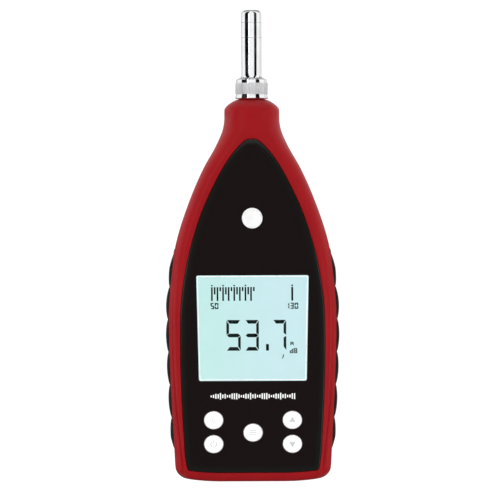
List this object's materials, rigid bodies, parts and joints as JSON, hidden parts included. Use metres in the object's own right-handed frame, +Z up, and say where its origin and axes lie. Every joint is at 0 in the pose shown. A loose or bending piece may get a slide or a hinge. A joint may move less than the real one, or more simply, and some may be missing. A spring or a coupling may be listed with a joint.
{
  "type": "sound level meter",
  "caption": "Hand-held sound level meter: red tapered case, glossy black face with a large LCD and round keys, side grips and a chrome microphone on top.",
  "frame": {"origin": "middle of the flat under the case, where the meter stands upright", "axes": "+Z up along the meter's length to the microphone, -Y out of the display, +X to the right as the display is read"},
  "size_m": [0.0902, 0.0359, 0.2448],
  "materials": {
    "red_case": "satin, fine grain",
    "black_panel": "glossy",
    "clear_window": "clear, polished",
    "lcd_face": "pale cyan, lit, with dark segments",
    "white_plastic": "moulded",
    "black_plastic": "moulded",
    "chip_black": "epoxy",
    "rubber_strip": "layered elastomer",
    "silver_keys": "pearl silver",
    "grip_rubber": "matt, moulded",
    "badge_silver": "plain silver disc",
    "chrome": "polished",
    "brass": "turned",
    "nickel": "nickel plated",
    "circuit_board": "solder resist",
    "steel": "zinc plated",
    "cell_jacket": "printed film jacket",
    "label_silver": "plain blank plate"
  },
  "bodies": {
    "case": {"backlight_panel": "white_plastic", "badge": "badge_silver", "battery_1": "cell_jacket", "battery_2": "cell_jacket", "battery_3": "cell_jacket", "battery_4": "cell_jacket", "battery_spring_1": "nickel", "battery_spring_2": "nickel", "battery_spring_3": "nickel", "battery_spring_4": "nickel", "board_screw_left": "steel", "board_screw_right": "steel", "case_screw_lower_left": "steel", "case_screw_lower_right": "steel", "case_screw_upper_left": "steel", "case_screw_upper_right": "steel", "connector_strip": "rubber_strip", "contact_plate_bottom_left": "nickel", "contact_plate_bottom_middle": "nickel", "contact_plate_bottom_right": "nickel", "contact_plate_top_left": "nickel", "contact_plate_top_right": "nickel", "display_window": "clear_window", "face_panel": "black_panel", "front_shell": "red_case", "grip_left": "grip_rubber", "grip_right": "grip_rubber", "lcd_frame": "black_plastic", "lcd_glass": "lcd_face", "lead_connector": "white_plastic", "main_board": "circuit_board", "mic_lead": "black_plastic", "mic_socket": "chrome", "output_jack": "black_plastic", "processor_chip": "chip_black", "rear_label": "label_silver", "rear_shell": "red_case", "shield_can": "steel", "switch_down": "black_plastic", "switch_light": "black_plastic", "switch_menu": "black_plastic", "switch_power": "black_plastic", "switch_up": "black_plastic", "tripod_bush": "brass"},
    "key_power": {"key_power": "silver_keys"},
    "key_light": {"key_light": "silver_keys"},
    "key_menu": {"key_menu": "silver_keys"},
    "key_up": {"key_up": "silver_keys"},
    "key_down": {"key_down": "silver_keys"},
    "microphone": {"mic_stem": "chrome", "mic_capsule": "chrome", "mic_grid": "chrome", "mic_diaphragm": "nickel", "mic_backplate": "brass", "preamp_board": "circuit_board", "mic_contact_pin": "brass"},
    "collar": {"mic_collar": "chrome"},
    "door": {"battery_door": "red_case"},
    "door_screw": {"battery_door_screw": "steel"},
    "trimmer": {"calibration_trimmer": "brass"}
  },
  "joints": [
    {"name": "key_power_press", "type": "slide", "parent": "case", "child": "key_power", "axis": [0, 1, 0], "range_m": [0, 0.0008], "stiffness_N_per_m": 1200, "springref_m": -0.0004},
    {"name": "key_light_press", "type": "slide", "parent": "case", "child": "key_light", "axis": [0, 1, 0], "range_m": [0, 0.0008], "stiffness_N_per_m": 1200, "springref_m": -0.0004},
    {"name": "key_menu_press", "type": "slide", "parent": "case", "child": "key_menu", "axis": [0, 1, 0], "range_m": [0, 0.0008], "stiffness_N_per_m": 1200, "springref_m": -0.0004},
    {"name": "key_up_press", "type": "slide", "parent": "case", "child": "key_up", "axis": [0, 1, 0], "range_m": [0, 0.0008], "stiffness_N_per_m": 1200, "springref_m": -0.0004},
    {"name": "key_down_press", "type": "slide", "parent": "case", "child": "key_down", "axis": [0, 1, 0], "range_m": [0, 0.0008], "stiffness_N_per_m": 1200, "springref_m": -0.0004},
    {"name": "microphone_pull", "type": "slide", "parent": "case", "child": "microphone", "axis": [0, 0, 1], "range_m": [0, 0.02]},
    {"name": "collar_turn", "type": "hinge", "parent": "microphone", "child": "collar", "pos_m": [0, 0, 0.2045], "axis": [0, 0, 1], "continuous": true},
    {"name": "battery_door_open", "type": "hinge", "parent": "case", "child": "door", "pos_m": [0, 0.018, 0.012], "axis": [-1, 0, 0], "range_deg": [0, 80]},
    {"name": "door_screw_turn", "type": "hinge", "parent": "door", "child": "door_screw", "pos_m": [0, 0.0165, 0.079], "axis": [0, 1, 0], "continuous": true},
    {"name": "trimmer_turn", "type": "hinge", "parent": "case", "child": "trimmer", "pos_m": [-0.018, -0.006, 0.003], "axis": [0, 0, 1], "range_deg": [-135, 135]}
  ]
}
